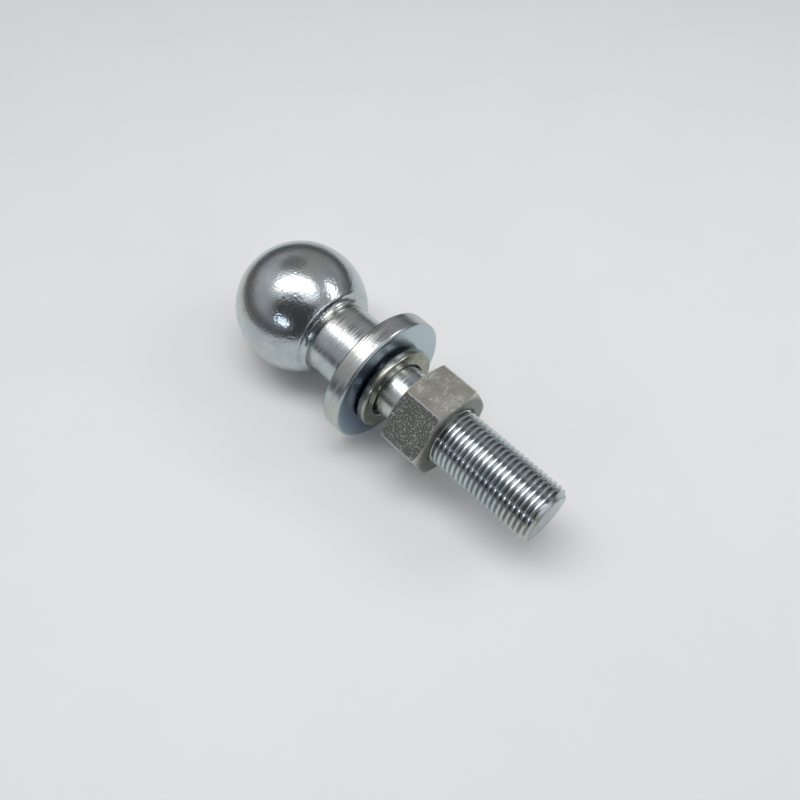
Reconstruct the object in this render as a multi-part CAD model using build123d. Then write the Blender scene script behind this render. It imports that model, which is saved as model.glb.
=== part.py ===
from build123d import *
from math import degrees, radians, sqrt, tan
import os

# A threaded tow ball, lying as it rests on a bench: the ball and the rim of the collar touch the
# ground, and the shank reaches out level behind them. Millimetres. The origin is the centre of the
# collar's seat, +X runs along the shank to its end, and +Z is up.

# Coupling ball
ball_diameter = 50.0
ball_to_seat = 47.4

# Turned relief under the ball. It falls from the ball in a cone to a sloping land, which steps down
# to the neck.
neck_diameter = 28.6
foot_height = 3.4
land_height = 1.6
land_drop = 0.3
land_width = 0.9
land_setback = 0.75

# Collar that seats on the bracket
collar_diameter = 50.0
collar_thickness = 7.5
collar_back_chamfer = 0.8
collar_front_chamfer = 0.6

# Shank. Its thread is rolled, so its plain part is as thick as the thread's pitch diameter, which is
# under the crest diameter by this share of the pitch.
shank_length = 73.4
thread_diameter = 22.0
thread_pitch = 2.0
flank_share = 0.6495
plain_length = 14.2
runout_length = 0.9
end_chamfer = 1.8

# Split spring washer, hung on the plain shank beside the collar
washer_bore = 23.0
washer_width = 5.1
washer_thickness = 3.3
washer_edge_chamfer = 0.6
washer_rise = 1.6
washer_gap = 2.2
washer_gap_angle = 30.0
washer_seat_clearance = 0.15
washer_hang_clearance = 0.2

# Hexagon nut, run up to the inner end of the thread
nut_across_flats = 32.0
nut_height = 17.5
nut_face_diameter = 30.0
nut_chamfer_angle = 20.0
nut_countersink_depth = 0.95
nut_running_clearance = 0.05
nut_setback = 0.55
nut_corner_angle = 48.8

# Turn of the stud's seam about X, which leaves a facet, and no corner, lowest and on the ground
# when the round faces are meshed
seam_angle = 2.8125

# Radii that several pieces share
ball_radius = ball_diameter / 2
neck_radius = neck_diameter / 2
collar_radius = collar_diameter / 2
thread_radius = thread_diameter / 2
plain_radius = (thread_diameter - flank_share * thread_pitch) / 2
washer_bore_radius = washer_bore / 2


def along_x(profile):
    """Turns a profile of the XY plane, whose Y is the radius, about the X axis."""
    return revolve(profile, Axis.X)


def ball_foot():
    """Where the ball's surface stops, above the neck by the height of the relief."""
    radius = neck_radius + foot_height
    return (-ball_to_seat + sqrt(ball_radius ** 2 - radius ** 2), radius)


def stud_profile():
    """Half section of the one-piece ball, neck, collar and shank."""
    step_x = -ball_to_seat + sqrt(ball_radius ** 2 - neck_radius ** 2) - land_setback
    land_start = (step_x - land_width, neck_radius + land_height)
    land_end = (step_x, neck_radius + land_height - land_drop)
    collar_back = -collar_thickness
    pole = (-ball_to_seat - ball_radius, 0)
    top = (-ball_to_seat, ball_radius)

    with BuildSketch() as section:
        with BuildLine():
            RadiusArc(pole, top, ball_radius)
            RadiusArc(top, ball_foot(), ball_radius)
            Polyline(
                ball_foot(),
                land_start,
                land_end,
                (step_x, neck_radius),
                (collar_back, neck_radius),
                (collar_back, collar_radius),
                (0, collar_radius),
                (0, plain_radius),
                (plain_length, plain_radius),
                (plain_length + runout_length, thread_radius),
                (shank_length - end_chamfer, thread_radius),
                (shank_length, thread_radius - end_chamfer),
                (shank_length, 0),
                pole,
            )
        make_face()
        chamfer(_corner(section, (collar_back, collar_radius)), collar_back_chamfer)
        chamfer(_corner(section, (0, collar_radius)), collar_front_chamfer)
    return section.sketch


def _corner(section, point):
    """The section's vertex nearest to a point."""
    return section.vertices().sort_by_distance((point[0], point[1], 0))[0]


def tow_ball_stud():
    return Rotation(seam_angle, 0, 0) * along_x(stud_profile())


def spring_washer():
    """One turn of flat bar wound into a shallow left-hand helix, cut square at its gap."""
    mean_radius = washer_bore_radius + washer_width / 2
    gap_angle = degrees(washer_gap / mean_radius)
    turn = (360 - gap_angle) / 360
    coil = Helix(pitch=washer_rise, height=washer_rise * turn, radius=mean_radius, lefthand=True)
    with BuildSketch(Plane(origin=coil @ 0, x_dir=(1, 0, 0), z_dir=coil % 0)) as bar:
        Rectangle(washer_width, washer_thickness)
        chamfer(bar.vertices(), washer_edge_chamfer)
    ring = sweep(bar.sketch, path=coil, is_frenet=True)
    ring = Rotation(0, 90, 0) * ring
    ring = Rotation(washer_gap_angle - gap_angle / 2, 0, 0) * ring
    seat_x = washer_seat_clearance + washer_thickness / 2
    hang = washer_bore_radius - plain_radius - washer_hang_clearance
    return Pos(seat_x, 0, -hang) * ring


def hex_nut():
    """Hexagon with both faces chamfered to a circle, and a countersunk bore."""
    inner_face = plain_length - nut_setback
    corner_radius = nut_across_flats / sqrt(3)
    face_radius = nut_face_diameter / 2
    chamfer_length = (corner_radius - face_radius) * tan(radians(nut_chamfer_angle))
    bore_radius = thread_radius + nut_running_clearance
    mouth_depth = nut_countersink_depth
    mouth_radius = bore_radius + mouth_depth

    hexagon = RegularPolygon(radius=corner_radius, side_count=6)
    prism = extrude(Plane.YZ * (Rot(0, 0, nut_corner_angle) * hexagon), nut_height)
    with BuildSketch() as section:
        with BuildLine():
            Polyline(
                (0, mouth_radius),
                (0, face_radius),
                (chamfer_length, corner_radius),
                (nut_height - chamfer_length, corner_radius),
                (nut_height, face_radius),
                (nut_height, mouth_radius),
                (nut_height - mouth_depth, bore_radius),
                (mouth_depth, bore_radius),
                close=True,
            )
        make_face()
    return Pos(inner_face, 0, 0) * (prism & along_x(section.sketch))


os.makedirs("parts", exist_ok=True)
pieces = {
    "tow_ball_stud": tow_ball_stud(),
    "spring_washer": spring_washer(),
    "hex_nut": hex_nut(),
}
for name, piece in pieces.items():
    piece.label = name
    export_step(piece, f"parts/{name}.step")
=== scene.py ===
import bmesh
import bpy
import math
from mathutils import Matrix, Vector


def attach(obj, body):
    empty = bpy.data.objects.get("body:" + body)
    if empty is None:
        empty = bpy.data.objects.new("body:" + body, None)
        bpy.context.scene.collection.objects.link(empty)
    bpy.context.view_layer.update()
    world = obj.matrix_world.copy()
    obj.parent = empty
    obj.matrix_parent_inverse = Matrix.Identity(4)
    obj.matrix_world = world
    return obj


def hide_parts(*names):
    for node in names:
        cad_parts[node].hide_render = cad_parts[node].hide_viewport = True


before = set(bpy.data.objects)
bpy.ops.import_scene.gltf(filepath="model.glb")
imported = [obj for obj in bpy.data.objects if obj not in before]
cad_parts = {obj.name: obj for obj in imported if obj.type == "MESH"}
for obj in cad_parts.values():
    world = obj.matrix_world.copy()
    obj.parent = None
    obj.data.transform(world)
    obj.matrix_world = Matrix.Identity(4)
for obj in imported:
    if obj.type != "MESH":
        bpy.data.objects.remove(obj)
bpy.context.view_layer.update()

# Sizes in millimetres, which MM turns into metres. The origin is the centre of the collar's seat, and
# +X runs along the shank to its end.
MM = 0.001

# Coupling ball
BALL_R = 25.0
BALL_X = -47.4

# Relief under the ball: a slightly hollow cone, a sloping land and a step down to the neck
NECK_R = 14.3
FOOT_H = 3.4
FOOT_SAG = 0.12
LAND_H = 1.6
LAND_DROP = 0.3
LAND_W = 0.9
LAND_BACK = 0.75

# Collar, whose seat is its face towards the shank
COLLAR_R = 25.0
COLLAR_T = 7.5
COLLAR_ROUND = 0.9
SEAT_BEVEL = 0.6
SEAT_BEVEL_ROUND = 0.15

# Shank: plain beside the collar, with a thread that rises out of it over RUNOUT_L
PLAIN_R = 10.35
PLAIN_L = 14.2
THREAD_R = 11.0
PITCH = 2.0
RUNOUT_L = 1.6
SHANK_L = 73.4
END_CHAMFER = 1.8
END_RIM = 0.25

# Small forms of the stud's section, each from the edge that it rounds or cuts: distance along X and
# height over the surface
LAND_EDGE = ((-0.12, 0.02), (0.0, -0.12))
GROOVE = ((0.0, -0.3), (0.05, -0.4), (0.2, -0.4), (0.3, -0.2), (0.38, -0.06), (0.55, 0.0))
NECK_FILLET = ((-0.35, 0.0), (-0.1, 0.08), (0.0, 0.35))
SEAT_EDGE = ((-0.12, -0.60), (-0.03, -0.70), (0.0, -0.82))
SHANK_FILLET = ((0.0, 0.4), (0.1, 0.12), (0.4, 0.0))

# Half of the thread's section, from the middle of a crest to the middle of a root: distance along X
# and depth under the crest. The other half mirrors it. Shank and nut share it, so that they stay in
# step.
HALF_THREAD = [(0.0, 0.0), (0.20, 0.01), (0.35, 0.04), (0.45, 0.15), (0.58, 0.49), (0.71, 0.82),
               (0.82, 1.04), (0.92, 1.13), (PITCH / 2, 1.15)]
THREAD = HALF_THREAD + [(PITCH - along, depth) for along, depth in HALF_THREAD[-2:0:-1]]

# Split spring washer, hung on the plain shank beside the collar. Its gap lies on the side of +Y,
# WASHER_GAP_ANGLE away from straight down.
WASHER_BORE_R = 11.5
WASHER_W = 5.1
WASHER_T = 3.3
WASHER_RIM_ROUND = 0.8
WASHER_BORE_ROUND = 0.45
WASHER_CUT_ROUND = 0.15
WASHER_RISE = 1.6
WASHER_GAP = 2.2
WASHER_GAP_ANGLE = 30.0
WASHER_SEAT_CLEARANCE = 0.15
WASHER_HANG_CLEARANCE = 0.2

# Hexagon nut, run up to the inner end of the thread
NUT_AF = 32.0
NUT_H = 17.5
NUT_SETBACK = 0.55
NUT_X = PLAIN_L - NUT_SETBACK
NUT_FACE_R = 15.0
NUT_MOUTH_R = 12.0
NUT_CHAMFER_ANGLE = 20.0
NUT_CORNER_ANGLE = 48.8
NUT_CORNER_ROUND = 0.24
NUT_THREAD_CLEARANCE = 0.14
NUT_ROOT_CLEARANCE = 0.05

# Fineness of the meshes, in steps round the axis
STUD_STEPS = 128
WASHER_STEPS = 220
NUT_STEPS = 216

# Vertices nearer to each other than WELD, in metres, are made one. Faces shorter along X than FLAT, in
# millimetres, are left out.
WELD = 1e-6
FLAT = 1e-7


# Mesh helpers

def add_object(name, verts, faces):
    """A mesh object from vertices in millimetres."""
    mesh = bpy.data.meshes.new(name)
    mesh.from_pydata([(x * MM, y * MM, z * MM) for x, y, z in verts], [], faces)
    mesh.validate()
    mesh.update()
    obj = bpy.data.objects.new(name, mesh)
    bpy.context.scene.collection.objects.link(obj)
    return obj


def weld(obj):
    """Joins the vertices that meet at seams and turns all faces outwards."""
    bm = bmesh.new()
    bm.from_mesh(obj.data)
    bmesh.ops.remove_doubles(bm, verts=bm.verts, dist=WELD)
    bmesh.ops.recalc_face_normals(bm, faces=bm.faces)
    bm.to_mesh(obj.data)
    bm.free()
    obj.data.update()


def shade(obj, degrees):
    """Smooth shading, with edges sharper than an angle left crisp."""
    bm = bmesh.new()
    bm.from_mesh(obj.data)
    limit = math.radians(degrees)
    for face in bm.faces:
        face.smooth = True
    for edge in bm.edges:
        if len(edge.link_faces) == 2 and edge.calc_face_angle(0) > limit:
            edge.smooth = False
    bm.to_mesh(obj.data)
    bm.free()
    obj.data.update()


def round_edges(obj, name, radius, segments, degrees):
    """Bevels the edges sharper than an angle."""
    bevel = obj.modifiers.new(name, "BEVEL")
    bevel.width = radius * MM
    bevel.segments = segments
    bevel.limit_method = "ANGLE"
    bevel.angle_limit = math.radians(degrees)


def ring_point(x, radius, angle):
    """The point at a place on X, a radius, and an angle about X that starts at +Y."""
    return (x, radius * math.cos(angle), radius * math.sin(angle))


def between(start, end, shares):
    """Points at the given shares of the way from start to end."""
    return [tuple(a + (b - a) * share for a, b in zip(start, end)) for share in shares]


def even_steps(start, end, count):
    """Points that part the way from start to end evenly, without the start itself."""
    return between(start, end, [i / count for i in range(1, count + 1)])


def moved(points, place):
    """Points of a small form, moved to where it lies on the section."""
    return [(place[0] + along, place[1] + height) for along, height in points]


def arc(centre, radius, first, last, count):
    """Points on an arc, from one angle in degrees to another."""
    points = []
    for i in range(count + 1):
        angle = math.radians(first + (last - first) * i / count)
        points.append((centre[0] + radius * math.cos(angle), centre[1] + radius * math.sin(angle)))
    return points


def sagging_line(start, end, sag, count):
    """Points from start to end on an arc, whose middle lies to the right of the chord by sag."""
    chord = math.dist(start, end)
    radius = chord * chord / (8 * sag) + sag / 2
    along = ((end[0] - start[0]) / chord, (end[1] - start[1]) / chord)
    middle = ((start[0] + end[0]) / 2, (start[1] + end[1]) / 2)
    centre = (middle[0] - along[1] * (radius - sag), middle[1] + along[0] * (radius - sag))
    first = math.atan2(start[1] - centre[1], start[0] - centre[0])
    turn = math.remainder(math.atan2(end[1] - centre[1], end[0] - centre[0]) - first, 2 * math.pi)
    return arc(centre, radius, math.degrees(first), math.degrees(first + turn), count)


def quads_between(rows):
    """Faces between each closed row of vertices and the next. Where a row is one point, triangles."""
    faces = []
    for row, following in zip(rows, rows[1:]):
        for j in range(len(row)):
            k = (j + 1) % len(row)
            quad = [row[j], following[j], following[k], row[k]]
            faces.append([v for i, v in enumerate(quad) if v not in quad[:i]])
    return faces


def lathe(profile, steps):
    """A profile of (x, radius) turned about X. A radius of 0 closes it with one point."""
    verts, rows = [], []
    for x, radius in profile:
        if radius == 0.0:
            rows.append([len(verts)] * steps)
            verts.append((x, 0.0, 0.0))
        else:
            rows.append(list(range(len(verts), len(verts) + steps)))
            verts += [ring_point(x, radius, 2 * math.pi * j / steps) for j in range(steps)]
    return verts, quads_between(rows)


def thread_band(x_start, x_end, radius_at, steps, first_angle=0.0):
    """The thread's surface from one place on X to another, cut off square at both.

    Each point of the thread's section gives a row of vertices, which climbs by the pitch in a turn.
    The end of a row meets the start of the row one turn further on. Faces that the cuts flatten are
    left out.
    """
    per_turn = len(THREAD)
    first_turn = math.floor(x_start / PITCH) - 2
    last_turn = math.ceil(x_end / PITCH) + 1
    verts, faces, rows = [], [], []
    for turn in range(first_turn, last_turn + 1):
        for along, depth in THREAD:
            row = []
            for j in range(steps):
                angle = first_angle + 2 * math.pi * j / steps
                x = turn * PITCH + along + PITCH * angle / (2 * math.pi)
                x = min(max(x, x_start), x_end)
                row.append(len(verts))
                verts.append(ring_point(x, radius_at(x, THREAD_R - depth), angle))
            rows.append(row)
    for i in range(len(rows) - 1):
        for j in range(steps):
            if j < steps - 1:
                quad = [rows[i][j], rows[i + 1][j], rows[i + 1][j + 1], rows[i][j + 1]]
            elif i + 1 + per_turn < len(rows):
                quad = [rows[i][j], rows[i + 1][j], rows[i + 1 + per_turn][0], rows[i + per_turn][0]]
            else:
                continue
            places = [verts[v][0] for v in quad]
            if max(places) - min(places) > FLAT:
                faces.append(quad)
    return verts, faces


def join(parts):
    """One list of vertices and one of faces from several pairs of them."""
    verts, faces = [], []
    for part_verts, part_faces in parts:
        base = len(verts)
        verts += part_verts
        faces += [[v + base for v in face] for face in part_faces]
    return verts, faces


# Stud

def stud_profile():
    """Half section from the ball's pole to the start of the thread."""
    foot_r = NECK_R + FOOT_H
    foot = (BALL_X + math.sqrt(BALL_R ** 2 - foot_r ** 2), foot_r)
    foot_angle = math.degrees(math.atan2(foot_r, foot[0] - BALL_X))
    step_x = BALL_X + math.sqrt(BALL_R ** 2 - NECK_R ** 2) - LAND_BACK
    land_start = (step_x - LAND_W, NECK_R + LAND_H)
    land_end = (step_x, NECK_R + LAND_H - LAND_DROP)
    back = -COLLAR_T
    rim_start = (back + COLLAR_ROUND, COLLAR_R - COLLAR_ROUND)
    rim_end = (-SEAT_BEVEL - SEAT_BEVEL_ROUND, COLLAR_R - SEAT_BEVEL_ROUND)
    root = moved(SHANK_FILLET, (0.0, PLAIN_R))

    profile = [(BALL_X - BALL_R, 0.0)]
    profile += arc((BALL_X, 0.0), BALL_R, 180, foot_angle, count=90)[1:]
    profile += sagging_line(foot, land_start, FOOT_SAG, count=6)[1:]
    profile += between(land_start, land_end, [0.5])
    profile += moved(LAND_EDGE, land_end)
    profile += moved(GROOVE, (step_x, NECK_R))
    profile += even_steps(profile[-1], (back, NECK_R), count=10)[:-1]
    profile += moved(NECK_FILLET, (back, NECK_R))
    profile += even_steps(profile[-1], (back, rim_start[1]), count=4)[:-1]
    profile += arc(rim_start, COLLAR_ROUND, 180, 90, count=8)
    profile += even_steps(profile[-1], (-SEAT_BEVEL, COLLAR_R), count=6)[:-1]
    profile += arc(rim_end, SEAT_BEVEL_ROUND, 90, 55, count=2)
    profile += moved(SEAT_EDGE, (0.0, COLLAR_R))
    profile += even_steps(profile[-1], root[0], count=8)[:-1]
    profile += root
    profile += even_steps(root[-1], (PLAIN_L, PLAIN_R), count=10)
    return profile


def shank_radius(x, radius):
    """Radius of the thread on the shank, which grows from the plain part and ends in a chamfer."""
    grown = min(max((x - PLAIN_L) / RUNOUT_L, 0.0), 1.0)
    grown = grown * grown * (3 - 2 * grown)
    return min(PLAIN_R + (radius - PLAIN_R) * grown, THREAD_R - END_CHAMFER + (SHANK_L - x))


def make_stud():
    """Ball, neck, collar and threaded shank in one piece."""
    end = (SHANK_L, THREAD_R - END_CHAMFER)
    rim = (SHANK_L, end[1] - END_RIM)
    cap = [end, rim] + even_steps(rim, (SHANK_L, 0.0), count=6)
    thread = thread_band(PLAIN_L, SHANK_L, shank_radius, STUD_STEPS)
    verts, faces = join([lathe(stud_profile(), STUD_STEPS), thread, lathe(cap, STUD_STEPS)])
    obj = add_object("coupling_ball_stud", verts, faces)
    weld(obj)
    shade(obj, degrees=32)
    return obj


# Washer

def bar_section():
    """The washer's flat bar, rounder at the rim than at the bore: distances along X and outwards."""
    half_t, half_w = WASHER_T / 2, WASHER_W / 2
    corners = (
        (1, 1, WASHER_RIM_ROUND),
        (-1, 1, WASHER_RIM_ROUND),
        (-1, -1, WASHER_BORE_ROUND),
        (1, -1, WASHER_BORE_ROUND),
    )
    section = []
    for quarter, (side, level, radius) in enumerate(corners):
        centre = (side * (half_t - radius), level * (half_w - radius))
        section += arc(centre, radius, 90 * quarter, 90 * quarter + 90, count=5)
    return section


def make_washer():
    """One turn of flat bar wound into a shallow left-hand helix, cut square at its gap."""
    mean_r = WASHER_BORE_R + WASHER_W / 2
    gap = WASHER_GAP / mean_r
    turn = 1 - gap / (2 * math.pi)
    first_angle = math.radians(WASHER_GAP_ANGLE - 90) - gap / 2
    first_x = WASHER_SEAT_CLEARANCE + WASHER_T / 2
    hang = WASHER_BORE_R - PLAIN_R - WASHER_HANG_CLEARANCE
    section = bar_section()
    verts, rows = [], []
    for k in range(WASHER_STEPS + 1):
        wound = turn * k / WASHER_STEPS
        angle = first_angle - 2 * math.pi * wound
        row = []
        for along, out in section:
            x, y, z = ring_point(first_x + WASHER_RISE * wound + along, mean_r + out, angle)
            row.append(len(verts))
            verts.append((x, y, z - hang))
        rows.append(row)
    faces = quads_between(rows) + [rows[0][::-1], rows[-1]]
    obj = add_object("split_washer", verts, faces)
    weld(obj)
    round_edges(obj, "cut_edges", WASHER_CUT_ROUND, segments=2, degrees=60)
    shade(obj, degrees=50)
    return obj


# Nut

def hexagon_radius(angle):
    """Distance from the axis to the side of the hexagon, at an angle about X."""
    from_middle = (math.degrees(angle) - NUT_CORNER_ANGLE) % 60 - 30
    return NUT_AF / 2 / math.cos(math.radians(from_middle))


def nut_section(angle):
    """Outside of the nut at an angle about X, from the bore's inner mouth round to its outer one."""
    side_r = hexagon_radius(angle)
    drop = (side_r - NUT_FACE_R) * math.tan(math.radians(NUT_CHAMFER_ANGLE))
    inner_mouth, outer_mouth = (0.0, NUT_MOUTH_R), (NUT_H, NUT_MOUTH_R)
    inner_rim, outer_rim = (0.0, NUT_FACE_R), (NUT_H, NUT_FACE_R)
    inner_edge, outer_edge = (drop, side_r), (NUT_H - drop, side_r)
    points = between(inner_mouth, inner_rim, (0.0, 0.5, 1.0))
    points += between(inner_rim, inner_edge, (0.34, 0.67, 1.0))
    points += between(inner_edge, outer_edge, (0.12, 0.25, 0.5, 0.75, 0.88))
    points += between(outer_rim, outer_edge, (1.0, 0.67, 0.34))
    points += between(outer_mouth, outer_rim, (1.0, 0.5, 0.0))
    return points


def nut_bore_radius(x, radius):
    """Radius of the nut's thread, a little wider than the shank's and opened to a cone at each mouth."""
    thread = min(radius + NUT_THREAD_CLEARANCE, THREAD_R + NUT_ROOT_CLEARANCE)
    from_face = min(x - NUT_X, NUT_X + NUT_H - x)
    return max(thread, NUT_MOUTH_R - from_face)


def make_nut():
    """Hexagon nut with chamfered corners and the thread in its bore."""
    first_angle = math.radians(NUT_CORNER_ANGLE)
    angles = [first_angle + 2 * math.pi * j / NUT_STEPS for j in range(NUT_STEPS)]
    sections = [nut_section(angle) for angle in angles]
    verts, rows = [], []
    for points in zip(*sections):
        rows.append(list(range(len(verts), len(verts) + NUT_STEPS)))
        verts += [ring_point(NUT_X + x, radius, angle) for (x, radius), angle in zip(points, angles)]
    bore = thread_band(NUT_X, NUT_X + NUT_H, nut_bore_radius, NUT_STEPS, first_angle)
    all_verts, all_faces = join([(verts, quads_between(rows)), bore])
    obj = add_object("hexagon_nut", all_verts, all_faces)
    weld(obj)
    round_edges(obj, "worn_edges", NUT_CORNER_ROUND, segments=4, degrees=40)
    shade(obj, degrees=28)
    return obj


stud = make_stud()
washer = make_washer()
nut = make_nut()


# Shader helpers

# Marks that run round the part are drawn on the angle about X times this radius.
MARK_RADIUS = 14.0 * MM


def rgb(red, green, blue):
    """An opaque colour."""
    return (red, green, blue, 1.0)


def in_metres(*sizes):
    """Millimetres in metres, as shaders read them."""
    return [size * MM for size in sizes]


class Nodes:
    """Adds nodes to the tree of a material or a world and links them."""

    def __init__(self, owner, coordinate="Object"):
        owner.use_nodes = True
        self.owner = owner
        self.tree = owner.node_tree
        self.place = self.add("ShaderNodeTexCoord").outputs[coordinate]

    def add(self, kind, **settings):
        """A new node with its settings."""
        node = self.tree.nodes.new(kind)
        for key, value in settings.items():
            setattr(node, key, value)
        return node

    def feed(self, socket, value):
        """Links an output to a socket, or writes a constant into it."""
        if hasattr(value, "is_output"):
            self.tree.links.new(value, socket)
        else:
            socket.default_value = value

    def math(self, operation, a, b=0.0):
        """The result of a Math node."""
        node = self.add("ShaderNodeMath", operation=operation)
        self.feed(node.inputs[0], a)
        self.feed(node.inputs[1], b)
        return node.outputs[0]

    def times(self, first, *others):
        """The product of two or more values."""
        for other in others:
            first = self.math("MULTIPLY", first, other)
        return first

    def plus(self, a, b):
        """The sum of two values."""
        return self.math("ADD", a, b)

    def minus(self, a, b):
        """The difference of two values."""
        return self.math("SUBTRACT", a, b)

    def compare(self, operation, a, b):
        """The number that a Vector Math node makes of two vectors."""
        node = self.add("ShaderNodeVectorMath", operation=operation)
        self.feed(node.inputs[0], a)
        self.feed(node.inputs[1], b)
        return node.outputs["Value"]

    def split(self, vector):
        """The x, y and z of a vector."""
        node = self.add("ShaderNodeSeparateXYZ")
        self.feed(node.inputs[0], vector)
        return node.outputs[0], node.outputs[1], node.outputs[2]

    def spread(self, source, low, high, at_low=0.0, at_high=1.0):
        """Maps the range from low to high onto the one from at_low to at_high, clamped at both."""
        node = self.add("ShaderNodeMapRange", clamp=True)
        self.feed(node.inputs["Value"], source)
        node.inputs["From Min"].default_value = low
        node.inputs["From Max"].default_value = high
        node.inputs["To Min"].default_value = at_low
        node.inputs["To Max"].default_value = at_high
        return node.outputs[0]

    def band(self, source, start, full, fades, end):
        """1 from full to fades, and 0 before start and after end."""
        return self.times(self.spread(source, start, full), self.spread(source, fades, end, 1.0, 0.0))

    def blend(self, share, a, b):
        """A number between a and b."""
        node = self.add("ShaderNodeMix", data_type="FLOAT")
        self.feed(node.inputs["Factor"], share)
        self.feed(node.inputs[2], a)
        self.feed(node.inputs[3], b)
        return node.outputs[0]

    def mix(self, share, a, b):
        """A colour between a and b. The colours of a Mix node are its inputs 6 and 7."""
        node = self.add("ShaderNodeMix", data_type="RGBA")
        self.feed(node.inputs["Factor"], share)
        self.feed(node.inputs[6], a)
        self.feed(node.inputs[7], b)
        return node.outputs[2]

    def painted(self, colour, layers):
        """A colour with layers of (share, colour) laid over it in turn."""
        for share, layer in layers:
            colour = self.mix(share, colour, layer)
        return colour

    def shifted(self, offset):
        """The place moved by an offset, so that one noise doesn't repeat another."""
        node = self.add("ShaderNodeMapping")
        node.inputs["Location"].default_value = offset
        self.feed(node.inputs["Vector"], self.place)
        return node.outputs[0]

    def noise(self, scale, detail, rough, stretch=(1, 1, 1), distortion=0.0, source=None):
        """Noise over the place, or over another vector, whose axes may be stretched."""
        mapping = self.add("ShaderNodeMapping")
        mapping.inputs["Scale"].default_value = stretch
        self.feed(mapping.inputs["Vector"], source or self.place)
        node = self.add("ShaderNodeTexNoise")
        node.inputs["Scale"].default_value = scale
        node.inputs["Detail"].default_value = detail
        node.inputs["Roughness"].default_value = rough
        node.inputs["Distortion"].default_value = distortion
        self.feed(node.inputs["Vector"], mapping.outputs[0])
        return node.outputs["Fac"]

    def pits(self, scale, size, rare):
        """Small spots, each in its own cell, in the share of the cells that lies above rare."""
        cells = self.add("ShaderNodeTexVoronoi")
        cells.inputs["Scale"].default_value = scale
        self.feed(cells.inputs["Vector"], self.place)
        tint = self.add("ShaderNodeSeparateColor")
        self.feed(tint.inputs[0], cells.outputs["Color"])
        chosen = self.spread(tint.outputs[0], rare, rare + 0.01)
        spots = self.spread(cells.outputs["Distance"], size, size * 1.8, 1.0, 0.0)
        return self.times(spots, chosen)

    def round_place(self):
        """A vector for marks that run round the part (x, angle, radius), and x, y and the radius."""
        x, y, z = self.split(self.place)
        angle = self.math("ARCTAN2", z, y)
        radius = self.math("SQRT", self.plus(self.times(y, y), self.times(z, z)))
        vector = self.add("ShaderNodeCombineXYZ")
        self.feed(vector.inputs[0], x)
        self.feed(vector.inputs[1], self.times(angle, MARK_RADIUS))
        self.feed(vector.inputs[2], radius)
        return vector.outputs[0], x, y, radius

    def bump(self, height, strength, distance, normal=None):
        """A normal tilted by a height, on top of another normal if one is given."""
        node = self.add("ShaderNodeBump")
        node.inputs["Strength"].default_value = strength
        node.inputs["Distance"].default_value = distance
        self.feed(node.inputs["Height"], height)
        if normal is not None:
            self.feed(node.inputs["Normal"], normal)
        return node.outputs[0]

    def metal(self, colour, roughness, normal):
        """The material, made a bare metal with this surface."""
        shader = self.tree.nodes["Principled BSDF"]
        shader.inputs["Metallic"].default_value = 1.0
        self.feed(shader.inputs["Base Color"], colour)
        self.feed(shader.inputs["Roughness"], roughness)
        self.feed(shader.inputs["Normal"], normal)
        return self.owner


# Materials

# Zones of the stud in metres. Of two values, the zone fades in or out between them. Of four, it
# fades in between the first two and out between the last two.
BALL_END_X = in_metres(-28.5, -26.5)
# Painted shade on the collar's back
COLLAR_BACK_SHADE_X = in_metres(-COLLAR_T - 0.4, -COLLAR_T - 0.2, -COLLAR_T + 0.5, -COLLAR_T + 0.8)
SEAT_X = in_metres(-0.3, 0.0, 0.2, 0.4)
SEAT_START_R = in_metres(PLAIN_R + 0.45, PLAIN_R + 1.05)
# Painted shadow on the seat: the washer's shadow and dark reflection, by radius and on the side of -Y
SEAT_SHADOW_R = in_metres(17.0, COLLAR_R)
SEAT_SHADOW_Y = in_metres(-1.0, 10.0)
TURNED_FADE_X = in_metres(-1.0, 3.0)
THREAD_START_X = in_metres(PLAIN_L, PLAIN_L + 0.8)
THREAD_END_X = in_metres(SHANK_L - 1.9, SHANK_L - 0.9)
# Painted shade in the thread's roots, by depth
THREAD_ROOT_SHADE_R = in_metres(THREAD_R - 1.1, THREAD_R - 0.6)
END_RING_X = in_metres(SHANK_L - 0.4, SHANK_L - 0.2)
END_RING_R = in_metres(8.4, 8.7, 9.1, 9.4)
END_FACE_X = in_metres(SHANK_L - 0.15, SHANK_L - 0.05)

# Zones of the nut: radii at which the worn corners start and at which the painted shade near the bore
# fades out on faces and chamfers, and the angle about X of the grainy flat, partly darkened by painted
# shade
WORN_CORNER_R = in_metres(18.28, 18.34)
CHAMFER_SHADE_R = in_metres(NUT_FACE_R + 0.5, NUT_FACE_R + 3.0)
GRAINY_SHADED_FLAT_ANGLE = NUT_CORNER_ANGLE + 90.0


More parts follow.
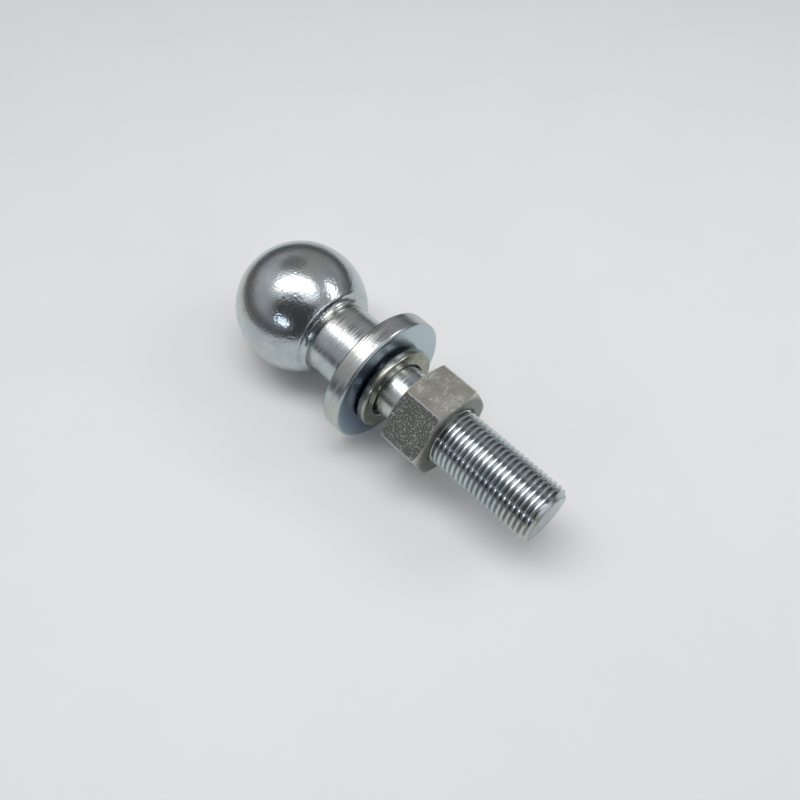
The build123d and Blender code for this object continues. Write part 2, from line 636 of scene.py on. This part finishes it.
def zinc_material():
    """Satin zinc plate: cloudy and grainy on the ball, with turned marks on neck and collar, and painted
    shade in the thread's roots, on the collar's back and on the seat beside the washer.
    """
    zinc = Nodes(bpy.data.materials.new("zinc_plate"))
    round_place, x, y, radius = zinc.round_place()

    ball = zinc.spread(x, *BALL_END_X, 1.0, 0.0)
    # Painted shade: darkens the collar's back face, its rounded back edge and the foot of the neck, for
    # the dark reflection along that edge
    collar_back_shade = zinc.band(x, *COLLAR_BACK_SHADE_X)
    seat = zinc.times(zinc.band(x, *SEAT_X), zinc.spread(radius, *SEAT_START_R))
    # Painted shadow: the seat darkens beside the washer, most on the side of -Y, for the washer's shadow
    # and dark reflection
    seat_painted_shadow = zinc.spread(radius, *SEAT_SHADOW_R, 0.82, 0.32)
    seat_painted_shadow = zinc.times(seat, seat_painted_shadow, zinc.spread(y, *SEAT_SHADOW_Y, 1.0, 0.0))
    thread = zinc.spread(x, *THREAD_START_X)
    # Painted shade in the thread's roots: darker the deeper the surface lies, fading out near both ends
    # of the thread
    root = zinc.times(thread, zinc.spread(radius, *THREAD_ROOT_SHADE_R, 1.0, 0.0))
    root = zinc.times(root, zinc.spread(x, *THREAD_END_X, 1.0, 0.0))
    end_face = zinc.spread(x, *END_FACE_X)
    end_ring = zinc.times(zinc.band(radius, *END_RING_R), zinc.spread(x, *END_RING_X, 0.0, 0.75))

    cloud = zinc.noise(75, 4, 0.62, distortion=0.6)
    patch = zinc.noise(170, 3, 0.6, source=zinc.shifted((0.3, 0.1, 0.7)))
    warm = zinc.noise(55, 2, 0.5, source=zinc.shifted((0.9, 0.4, 0.2)))
    swell = zinc.noise(240, 3, 0.6)
    grain = zinc.noise(1700, 3, 0.65)
    fleck = zinc.noise(1150, 1, 0.5)
    streak = zinc.noise(1.0, 3, 0.6, stretch=(2000, 75, 75), source=round_place)
    rings = zinc.noise(1.0, 2, 0.5, stretch=(0, 0, 1300), source=round_place)
    turned_ring = zinc.times(end_face, zinc.spread(rings, 0.42, 0.56, 0.85, 0.0))
    pit = zinc.times(zinc.pits(150, 0.045, 0.55), ball)

    plate = zinc.mix(zinc.spread(cloud, 0.36, 0.64), rgb(0.52, 0.55, 0.56), rgb(0.66, 0.70, 0.69))
    colour = zinc.painted(plate, (
        (zinc.spread(warm, 0.48, 0.64, 0.0, 0.6), rgb(0.56, 0.54, 0.46)),
        (zinc.spread(patch, 0.54, 0.72, 0.0, 0.45), rgb(0.42, 0.44, 0.47)),
        (zinc.spread(grain, 0.62, 0.78, 0.0, 0.5), rgb(0.40, 0.43, 0.44)),
        (zinc.times(seat, 0.75), rgb(0.50, 0.59, 0.65)),
        # painted shadow of the washer on the seat
        (seat_painted_shadow, rgb(0.16, 0.23, 0.38)),
        (turned_ring, rgb(0.34, 0.37, 0.38)),
        (end_ring, rgb(0.15, 0.17, 0.17)),
        # painted shade in the thread's roots
        (zinc.times(root, 0.65), rgb(0.16, 0.19, 0.21)),
        # painted shade on the collar's back
        (zinc.times(collar_back_shade, 0.8), rgb(0.14, 0.15, 0.16)),
        (pit, rgb(0.16, 0.17, 0.17)),
    ))

    rough_ball = zinc.spread(cloud, 0.35, 0.65, 0.19, 0.12)
    rough_ball = zinc.plus(rough_ball, zinc.spread(grain, 0.45, 0.70, 0.0, 0.08))
    rough_turned = zinc.spread(streak, 0.40, 0.62, 0.14, 0.36)
    roughness = zinc.blend(ball, rough_turned, rough_ball)
    roughness = zinc.blend(thread, roughness, 0.19)
    roughness = zinc.blend(seat, roughness, 0.26)

    speckle = zinc.times(zinc.minus(fleck, 0.5), zinc.spread(patch, 0.38, 0.62, 0.15, 0.80))
    turned = zinc.times(streak, zinc.spread(x, *TURNED_FADE_X, 0.8, 0.35))
    relief = zinc.blend(ball, turned, speckle)
    relief = zinc.blend(end_face, relief, rings)
    normal = zinc.bump(relief, 1.0, 0.14 * MM)
    normal = zinc.bump(swell, 0.22, 0.15 * MM, normal)
    return zinc.metal(colour, roughness, normal)


def washer_material():
    """Dull olive steel with fine marks that run round it."""
    steel = Nodes(bpy.data.materials.new("washer_steel"))
    round_place = steel.round_place()[0]
    cloud = steel.noise(160, 4, 0.65)
    turned = steel.noise(1.0, 3, 0.6, stretch=(2600, 200, 2600), source=round_place)
    colour = steel.mix(steel.spread(cloud, 0.35, 0.65), rgb(0.27, 0.26, 0.21), rgb(0.48, 0.47, 0.41))
    roughness = steel.spread(turned, 0.3, 0.7, 0.18, 0.36)
    return steel.metal(colour, roughness, steel.bump(turned, 0.6, 0.06 * MM))


def nut_material():
    """Dull plate with fine flecks, bright on worn corners and chamfers; one flat is grainy and partly
    darkened by painted shade, and the faces and chamfers near the bore carry painted shade.
    """
    steel = Nodes(bpy.data.materials.new("nut_steel"))
    radius = steel.round_place()[3]
    facing = steel.add("ShaderNodeTexCoord").outputs["Normal"]

    # One flat is grainy with pale flecks, and between them partly darkened by painted shade
    grainy_shaded_flat_normal = ring_point(0.0, 1.0, math.radians(GRAINY_SHADED_FLAT_ANGLE))
    grainy_shaded_flat = steel.spread(steel.compare("DOT_PRODUCT", facing, grainy_shaded_flat_normal), 0.70, 0.95)
    corner = steel.spread(radius, *WORN_CORNER_R)
    chamfer = steel.spread(steel.math("ABSOLUTE", steel.split(facing)[0]), 0.5, 0.8)
    # Painted shade on the faces and chamfers near the bore, fading out towards the corners
    chamfer_painted_shade = steel.times(chamfer, steel.spread(radius, *CHAMFER_SHADE_R, 0.92, 0.0))

    cloud = steel.noise(120, 4, 0.65)
    grain = steel.noise(1500, 3, 0.7)
    fleck = steel.noise(1400, 3, 0.7)
    fleck = steel.times(fleck, steel.spread(steel.noise(150, 2, 0.5), 0.42, 0.60, 0.84, 1.12))

    plate = steel.mix(steel.spread(cloud, 0.38, 0.62), rgb(0.52, 0.49, 0.40), rgb(0.68, 0.67, 0.59))
    colour = steel.painted(plate, (
        (steel.spread(grain, 0.36, 0.50, 0.6, 0.0), rgb(0.42, 0.40, 0.33)),
        (steel.spread(fleck, 0.58, 0.68, 0.0, 0.6), rgb(0.90, 0.91, 0.87)),
        # the grainy flat: grain, and in part painted shade
        (steel.times(grainy_shaded_flat, steel.spread(grain, 0.50, 0.62, 0.88, 0.0)), rgb(0.20, 0.20, 0.18)),
        (steel.times(chamfer, 0.8), rgb(0.78, 0.77, 0.73)),
        # painted shade near the bore
        (chamfer_painted_shade, rgb(0.20, 0.20, 0.17)),
        (steel.times(grainy_shaded_flat, steel.spread(grain, 0.60, 0.68)), rgb(0.86, 0.86, 0.82)),
        (corner, rgb(0.96, 0.96, 0.94)),
    ))

    roughness = steel.blend(grainy_shaded_flat, steel.spread(fleck, 0.50, 0.66, 0.36, 0.50), 0.26)
    roughness = steel.blend(corner, roughness, 0.24)
    relief = steel.times(grain, steel.blend(grainy_shaded_flat, 0.35, 0.8))
    relief = steel.blend(corner, relief, 0.35)
    return steel.metal(colour, roughness, steel.bump(relief, 1.0, 0.20 * MM))


stud.data.materials.append(zinc_material())
washer.data.materials.append(washer_material())
nut.data.materials.append(nut_material())


# Camera, in metres. Its picture is IMAGE_PX wide, and FOCAL_PX is its focal length in the same pixels.
CAMERA_PLACE = Vector((0.10877, -0.10087, 0.22854))
CAMERA_FORWARD = Vector((-0.3746, 0.3666, -0.8517)).normalized()
CAMERA_RIGHT = Vector((0.6997, 0.7144, 0.0)).normalized()
CAMERA_DOWN = CAMERA_FORWARD.cross(CAMERA_RIGHT)
FOCAL_PX = 760.0
IMAGE_PX = 800.0


def placed(right, up, back, place):
    """The matrix that turns an object's axes to right, up and back, and moves it to a place."""
    matrix = Matrix((right, up, back)).transposed().to_4x4()
    matrix.translation = place
    return matrix


def make_camera():
    """The camera, at the photograph's angle."""
    data = bpy.data.cameras.new("camera")
    data.sensor_width = 36.0
    data.lens = data.sensor_width * FOCAL_PX / IMAGE_PX
    data.clip_start = 0.005
    data.clip_end = 10.0
    obj = bpy.data.objects.new("camera", data)
    obj.matrix_world = placed(CAMERA_RIGHT, -CAMERA_DOWN, -CAMERA_FORWARD, CAMERA_PLACE)
    bpy.context.scene.collection.objects.link(obj)
    bpy.context.scene.camera = obj


# Floor, in metres. The part lies on its ball and collar. The metal shows a painted reflection of it:
# to glossy rays the floor is a round greenish-pale sheet, dark beyond it, which ends a little beyond the
# picture.
FLOOR_Z = -BALL_R * MM
FLOOR_HALF = 1.6
SHEET_CENTRE = (0.12, 0.10, FLOOR_Z)
SHEET_R = 0.34
SHEET_FADE = 0.05
FLOOR_FADE = (0.42, 1.0)


def make_floor():
    """A plain pale floor, which fades into the backdrop far from the part."""
    corners = ((-1, -1), (1, -1), (1, 1), (-1, 1))
    mesh = bpy.data.meshes.new("floor")
    mesh.from_pydata([(FLOOR_HALF * x, FLOOR_HALF * y, FLOOR_Z) for x, y in corners], [], [(0, 1, 2, 3)])
    obj = bpy.data.objects.new("floor", mesh)
    bpy.context.scene.collection.objects.link(obj)

    paint = Nodes(bpy.data.materials.new("floor_paint"))
    rays = paint.add("ShaderNodeLightPath")
    from_centre = paint.compare("DISTANCE", paint.place, SHEET_CENTRE)
    pale = paint.mix(paint.noise(30, 3, 0.6), rgb(0.87, 0.86, 0.85), rgb(0.90, 0.89, 0.88))
    beyond_sheet = paint.spread(from_centre, SHEET_R, SHEET_R + SHEET_FADE)
    # Painted reflection: glossy rays see this colour in place of the floor's own, pale on the sheet and
    # dark beyond it
    painted_reflection = paint.mix(beyond_sheet, rgb(0.78, 0.82, 0.81), rgb(0.18, 0.19, 0.20))
    shader = paint.tree.nodes["Principled BSDF"]
    shader.inputs["Roughness"].default_value = 0.6
    paint.feed(shader.inputs["Base Color"], paint.mix(rays.outputs["Is Glossy Ray"], pale, painted_reflection))
    faded = paint.add("ShaderNodeMixShader")
    far_off = paint.times(rays.outputs["Is Camera Ray"], paint.spread(from_centre, *FLOOR_FADE))
    paint.feed(faded.inputs["Fac"], far_off)
    paint.feed(faded.inputs[1], shader.outputs[0])
    paint.feed(faded.inputs[2], paint.add("ShaderNodeBsdfTransparent").outputs[0])
    paint.feed(paint.tree.nodes["Material Output"].inputs["Surface"], faded.outputs[0])
    obj.data.materials.append(paint.owner)
    return obj


# Lamps: name, direction from the ball, length and width in metres, tilt in degrees, radiance, colour
LAMPS = (
    ("key", (-0.07, -0.056, 0.996), (0.66, 0.24), 6, 4.0, (1.0, 1.0, 1.0)),
    ("second", (0.535, 0.619, 0.575), (0.34, 0.15), 52, 3.2, (0.90, 0.95, 1.0)),
    ("third", (0.251, -0.885, 0.392), (0.26, 0.045), 30, 7.0, (0.76, 0.86, 1.0)),
)
LAMP_DISTANCE = 0.6
BALL_CENTRE = Vector((BALL_X * MM, 0.0, 0.0))


def add_lamp(name, direction, size, tilt, radiance, colour):
    """An oval lamp that faces the ball. Its long side tilts from level, clockwise in the picture."""
    length, width = size
    area = math.pi * length * width / 4
    data = bpy.data.lights.new(name, "AREA")
    data.shape = "ELLIPSE"
    data.size = length
    data.size_y = width
    data.energy = radiance * math.pi * area
    data.color = colour
    back = Vector(direction).normalized()
    along = CAMERA_RIGHT * math.cos(math.radians(tilt)) + CAMERA_DOWN * math.sin(math.radians(tilt))
    side = (along - along.dot(back) * back).normalized()
    obj = bpy.data.objects.new(name, data)
    obj.matrix_world = placed(side, back.cross(side), back, BALL_CENTRE + back * LAMP_DISTANCE)
    bpy.context.scene.collection.objects.link(obj)


# Room

# Light of the walls: height, from 0 at the horizon to 1 straight up, and level. Below the horizon it
# stays at the first level.
WALL_TOP = 0.38
WALL_LEVELS = ((0.0, 0.09), (0.10, 0.12), (0.32, 0.31), (0.8, WALL_TOP))

# Soft light patches: direction, cosines where the patch starts and where it is full, and the light
# that it adds
GLOWS = (
    ((-0.24, -0.22, 0.945), 0.86, 0.98, 0.45),
    ((0.36, 0.06, 0.93), 0.93, 0.99, 0.9),
    ((0.98, 0.08, 0.10), 0.84, 0.95, 1.1),
    ((-0.80, -0.51, 0.30), 0.72, 0.95, 0.14),
)

# Soft dark patches: the same, with the share of the light that they take
DARKS = (
    ((0.45, -0.60, 0.66), 0.66, 0.90, 0.85),
    ((-0.58, 0.33, 0.745), 0.93, 0.985, 0.50),
)


def room_patch(room, direction, start, full):
    """1 in the middle of a soft round patch of the room, and 0 outside it."""
    toward = room.compare("DOT_PRODUCT", room.place, Vector(direction).normalized())
    soft = room.add("ShaderNodeMapRange", interpolation_type="SMOOTHSTEP")
    room.feed(soft.inputs["Value"], toward)
    soft.inputs["From Min"].default_value = start
    soft.inputs["From Max"].default_value = full
    return soft.outputs[0]


def make_room():
    """A plain room whose walls darken towards the floor, with soft light and dark patches.

    The camera itself sees a plain pale backdrop.
    """
    world = bpy.data.worlds.new("room")
    bpy.context.scene.world = world
    room = Nodes(world, "Generated")
    walls = room.add("ShaderNodeValToRGB")
    room.feed(walls.inputs["Fac"], room.split(room.place)[2])
    stops = walls.color_ramp.elements
    while len(stops) < len(WALL_LEVELS):
        stops.new(0.5)
    for stop, (height, level) in zip(stops, WALL_LEVELS):
        stop.position = height
        stop.color = (level, level * 1.03, level * 1.09, 1)
    strength = 1.0
    for direction, start, full, taken in DARKS:
        shadow = room.times(room_patch(room, direction, start, full), taken)
        strength = room.times(strength, room.minus(1.0, shadow))
    for direction, start, full, added in GLOWS:
        glow = room.times(room_patch(room, direction, start, full), added / WALL_TOP)
        strength = room.plus(strength, glow)
    light = room.tree.nodes["Background"]
    room.feed(light.inputs["Color"], walls.outputs["Color"])
    room.feed(light.inputs["Strength"], strength)
    backdrop = room.add("ShaderNodeBackground")
    backdrop.inputs["Color"].default_value = rgb(0.76, 0.77, 0.79)
    chosen = room.add("ShaderNodeMixShader")
    room.feed(chosen.inputs["Fac"], room.add("ShaderNodeLightPath").outputs["Is Camera Ray"])
    room.feed(chosen.inputs[1], light.outputs[0])
    room.feed(chosen.inputs[2], backdrop.outputs[0])
    room.feed(room.tree.nodes["World Output"].inputs["Surface"], chosen.outputs[0])


floor = make_floor()
for lamp in LAMPS:
    add_lamp(*lamp)
make_room()
make_camera()
bpy.context.scene.view_settings.view_transform = "Standard"

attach(stud, "stud")
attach(washer, "washer")
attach(nut, "nut")
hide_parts("tow_ball_stud")
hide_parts("spring_washer")
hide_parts("hex_nut")
